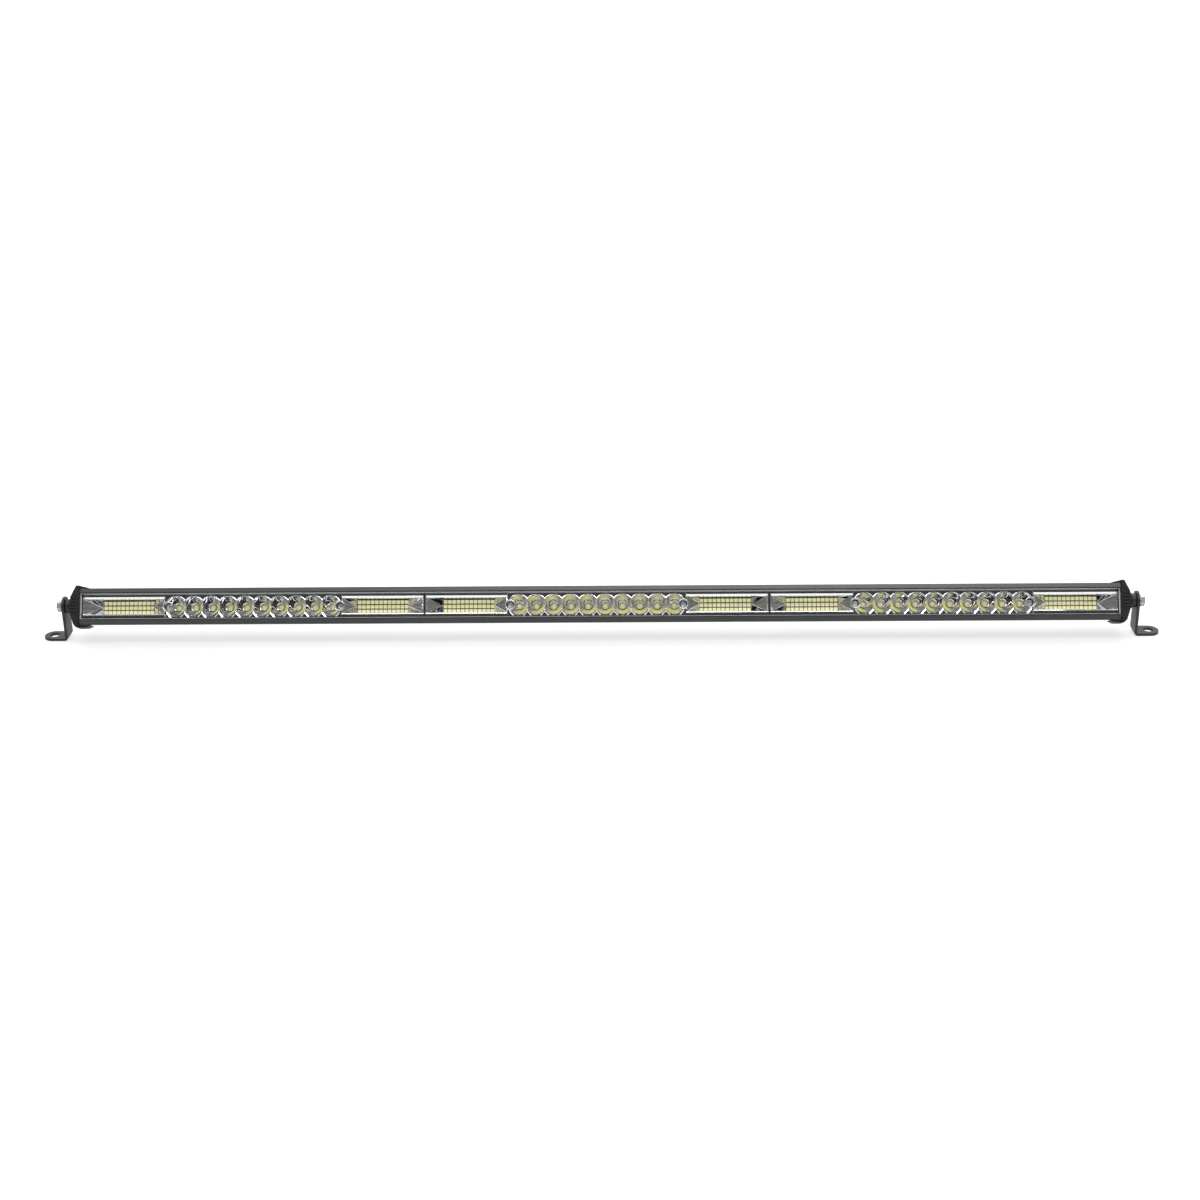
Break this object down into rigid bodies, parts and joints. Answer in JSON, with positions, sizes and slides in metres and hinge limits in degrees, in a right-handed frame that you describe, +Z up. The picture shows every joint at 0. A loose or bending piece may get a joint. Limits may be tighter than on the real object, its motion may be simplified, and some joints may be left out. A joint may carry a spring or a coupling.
{
  "type": "led light bar",
  "caption": "Slim single-row vehicle light bar with mixed spot and flood reflectors, clear lens, die-cast end caps and tilting L brackets.",
  "frame": {"origin": "middle of the whole part's box, on the plane that the bracket feet stand on", "axes": "+X along the bar towards its right end as the viewer sees the lens, -Y the way the lamp faces, +Z up from the feet"},
  "size_m": [1.056, 0.0494, 0.0558],
  "materials": {
    "housing_coat": "satin black powder coat on extruded aluminium",
    "cap_coat": "textured black powder coat on die casting",
    "bracket_coat": "satin black powder coat on pressed steel",
    "lens": "clear polished polycarbonate",
    "reflector": "vacuum aluminised",
    "board": "white solder mask",
    "zinc": "bright zinc plate",
    "black_screw": "black oxide",
    "rubber": "matte",
    "nylon": "moulded black nylon",
    "wire_red": "satin wire insulation",
    "wire_black": "satin wire insulation"
  },
  "bodies": {
    "lamp": {"housing": "housing_coat", "cover_lens": "lens", "lens_seal": "rubber", "reflector_left": "reflector", "led_board_left": "board", "reflector_screw_left_1": "zinc", "reflector_screw_left_2": "zinc", "reflector_centre": "reflector", "led_board_centre": "board", "reflector_screw_centre_1": "zinc", "reflector_screw_centre_2": "zinc", "reflector_right": "reflector", "led_board_right": "board", "reflector_screw_right_1": "zinc", "reflector_screw_right_2": "zinc", "link_wire_left_positive": "wire_red", "link_wire_left_negative": "wire_black", "end_gasket_left": "rubber", "end_cap_left": "cap_coat", "cap_screw_left_1": "black_screw", "cap_screw_left_2": "black_screw", "cap_screw_left_3": "black_screw", "cap_screw_left_4": "black_screw", "pivot_nut_left": "zinc", "pivot_spacer_left": "nylon", "spring_washer_left": "zinc", "pivot_bolt_left": "zinc", "link_wire_right_positive": "wire_red", "link_wire_right_negative": "wire_black", "end_gasket_right": "rubber", "end_cap_right": "cap_coat", "cap_screw_right_1": "black_screw", "cap_screw_right_2": "black_screw", "cap_screw_right_3": "black_screw", "cap_screw_right_4": "black_screw", "pivot_nut_right": "zinc", "pivot_spacer_right": "nylon", "spring_washer_right": "zinc", "pivot_bolt_right": "zinc", "gland_body": "nylon", "gland_nut": "nylon", "gland_insert": "rubber", "vent_plug": "nylon"},
    "left_bracket": {"bracket_left": "bracket_coat"},
    "right_bracket": {"bracket_right": "bracket_coat"}
  },
  "joints": [
    {"name": "left_bracket_tilt", "type": "hinge", "parent": "lamp", "child": "left_bracket", "pos_m": [-0.50475, 0.00064, 0.0324], "axis": [1, 0, 0], "range_deg": [-120, 60]},
    {"name": "right_bracket_tilt", "type": "hinge", "parent": "lamp", "child": "right_bracket", "pos_m": [0.50475, 0.00064, 0.0324], "axis": [1, 0, 0], "range_deg": [-120, 60]}
  ]
}
